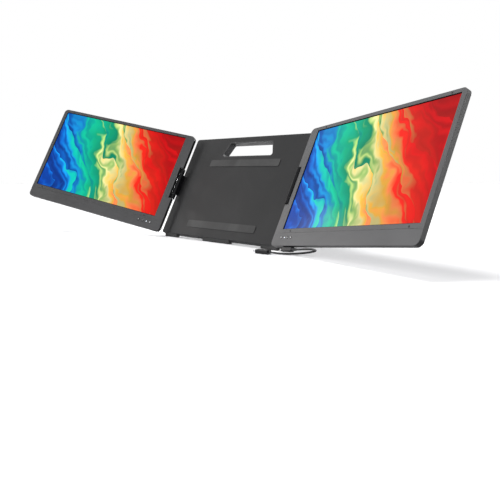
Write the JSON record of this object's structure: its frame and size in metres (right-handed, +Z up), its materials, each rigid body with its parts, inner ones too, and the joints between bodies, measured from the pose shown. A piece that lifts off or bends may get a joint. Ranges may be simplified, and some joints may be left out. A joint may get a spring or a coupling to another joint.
{
  "type": "laptop screen extender",
  "caption": "Folding display panel that adds a screen on each side of a laptop: centre plate with a carrying slot and fold-out kickstand, hinged display wings and a USB-C lead.",
  "frame": {"origin": "On the table, in the middle of the sole of the base feet: x midway between the wings, y in the middle of the sole's depth, z at the table.", "axes": "+X to the right seen from the front, +Y to the back (towards the kickstand's foot), +Z up. The centre plate leans back 26.4 degrees."},
  "size_m": [0.9755, 0.2921, 0.2659],
  "materials": {
    "charcoal_bezel": "fine matte moulded charcoal",
    "slate_shell": "satin slate grey, faint grain",
    "dark_shell": "matte near-black moulded shell",
    "black_trim": "smooth black trim",
    "screen": "smooth cover glass over a lit display, opaque behind",
    "backlight": "white light guide",
    "panel_steel": "plain sheet steel",
    "bright_steel": "turned bright steel",
    "dark_zinc": "satin dark grey cast metal",
    "satin_slate_metal": "satin blue-grey anodised sheet",
    "stand_metal": "bead-blasted grey anodised",
    "stand_inlay": "satin lighter grey anodised",
    "rubber_black": "soft matte black",
    "board_green": "solder-masked circuit board",
    "chip_black": "moulded chips",
    "ribbon_amber": "polyimide ribbon",
    "button_black": "satin dark button",
    "led_white": "translucent light pipe",
    "screw_steel": "machined screw steel",
    "plug_black": "matte black overmould",
    "cable_black": "satin black jacket",
    "plug_metal": "nickel plated shell"
  },
  "bodies": {
    "centre": {"rear_shell": "dark_shell", "front_plate": "dark_shell", "handle_liner": "black_trim", "left_back_panel": "satin_slate_metal", "right_back_panel": "satin_slate_metal", "stiffener_plate": "panel_steel", "centre_screws": "screw_steel", "signal_ribbon": "ribbon_amber", "lid_pads": "rubber_black", "base_feet": "rubber_black", "kickstand_hinge_housings": "dark_zinc", "left_hinge_bracket": "dark_zinc", "right_hinge_bracket": "dark_zinc", "left_friction_sleeves": "bright_steel", "right_friction_sleeves": "bright_steel"},
    "left_wing": {"left_backlight": "backlight", "left_board_components": "chip_black", "left_control_board": "board_green", "left_display_back_plate": "panel_steel", "left_display_glass": "screen", "left_display_ribbon": "ribbon_amber", "left_front_bezel": "charcoal_bezel", "left_front_bumpers": "rubber_black", "left_hinge_leaf": "dark_zinc", "left_hinge_pin": "bright_steel", "left_hinge_trim": "black_trim", "left_rear_cover": "slate_shell", "left_status_led": "led_white", "left_wing_screws": "screw_steel"},
    "right_wing": {"right_backlight": "backlight", "right_board_components": "chip_black", "right_control_board": "board_green", "right_display_back_plate": "panel_steel", "right_display_glass": "screen", "right_display_ribbon": "ribbon_amber", "right_front_bezel": "charcoal_bezel", "right_front_bumpers": "rubber_black", "right_hinge_leaf": "dark_zinc", "right_hinge_pin": "bright_steel", "right_hinge_trim": "black_trim", "right_rear_cover": "slate_shell", "right_status_led": "led_white", "right_usb_sockets": "plug_metal", "right_wing_screws": "screw_steel", "wing_plug": "plug_black", "wing_plug_tip": "plug_metal", "usb_lead": "cable_black", "far_plug": "plug_black", "far_plug_tip": "plug_metal"},
    "kickstand": {"kickstand_frame": "stand_metal", "kickstand_inlay": "stand_inlay", "kickstand_foot": "rubber_black", "kickstand_pins": "bright_steel"},
    "left_power_button": {"left_power_button": "button_black"},
    "left_minus_button": {"left_minus_button": "button_black"},
    "left_plus_button": {"left_plus_button": "button_black"},
    "right_power_button": {"right_power_button": "button_black"},
    "right_minus_button": {"right_minus_button": "button_black"},
    "right_plus_button": {"right_plus_button": "button_black"}
  },
  "joints": [
    {"name": "left_wing_hinge", "type": "hinge", "parent": "centre", "child": "left_wing", "pos_m": [-0.17244, 0.03291, 0.10251], "axis": [0, 0.4446, 0.8957], "range_deg": [-27.1, 152.9]},
    {"name": "right_wing_hinge", "type": "hinge", "parent": "centre", "child": "right_wing", "pos_m": [0.17112, 0.0282, 0.10485], "axis": [0, -0.4446, -0.8957], "range_deg": [-12.7, 167.3]},
    {"name": "kickstand_hinge", "type": "hinge", "parent": "centre", "child": "kickstand", "pos_m": [0, 0.0723, 0.13543], "axis": [1, 0, 0], "range_deg": [-51.21, 18.8]},
    {"name": "left_power_button_press", "type": "slide", "parent": "left_wing", "child": "left_power_button", "axis": [-0.4555, 0.7974, -0.3958], "range_m": [0, 0.0005], "stiffness_N_per_m": 400, "springref_m": -0.0005},
    {"name": "left_minus_button_press", "type": "slide", "parent": "left_wing", "child": "left_minus_button", "axis": [-0.4555, 0.7974, -0.3958], "range_m": [0, 0.0005], "stiffness_N_per_m": 400, "springref_m": -0.0005},
    {"name": "left_plus_button_press", "type": "slide", "parent": "left_wing", "child": "left_plus_button", "axis": [-0.4555, 0.7974, -0.3958], "range_m": [0, 0.0005], "stiffness_N_per_m": 400, "springref_m": -0.0005},
    {"name": "right_power_button_press", "type": "slide", "parent": "right_wing", "child": "right_power_button", "axis": [0.2198, 0.8738, -0.4338], "range_m": [0, 0.0005], "stiffness_N_per_m": 400, "springref_m": -0.0005},
    {"name": "right_minus_button_press", "type": "slide", "parent": "right_wing", "child": "right_minus_button", "axis": [0.2198, 0.8738, -0.4338], "range_m": [0, 0.0005], "stiffness_N_per_m": 400, "springref_m": -0.0005},
    {"name": "right_plus_button_press", "type": "slide", "parent": "right_wing", "child": "right_plus_button", "axis": [0.2198, 0.8738, -0.4338], "range_m": [0, 0.0005], "stiffness_N_per_m": 400, "springref_m": -0.0005}
  ]
}
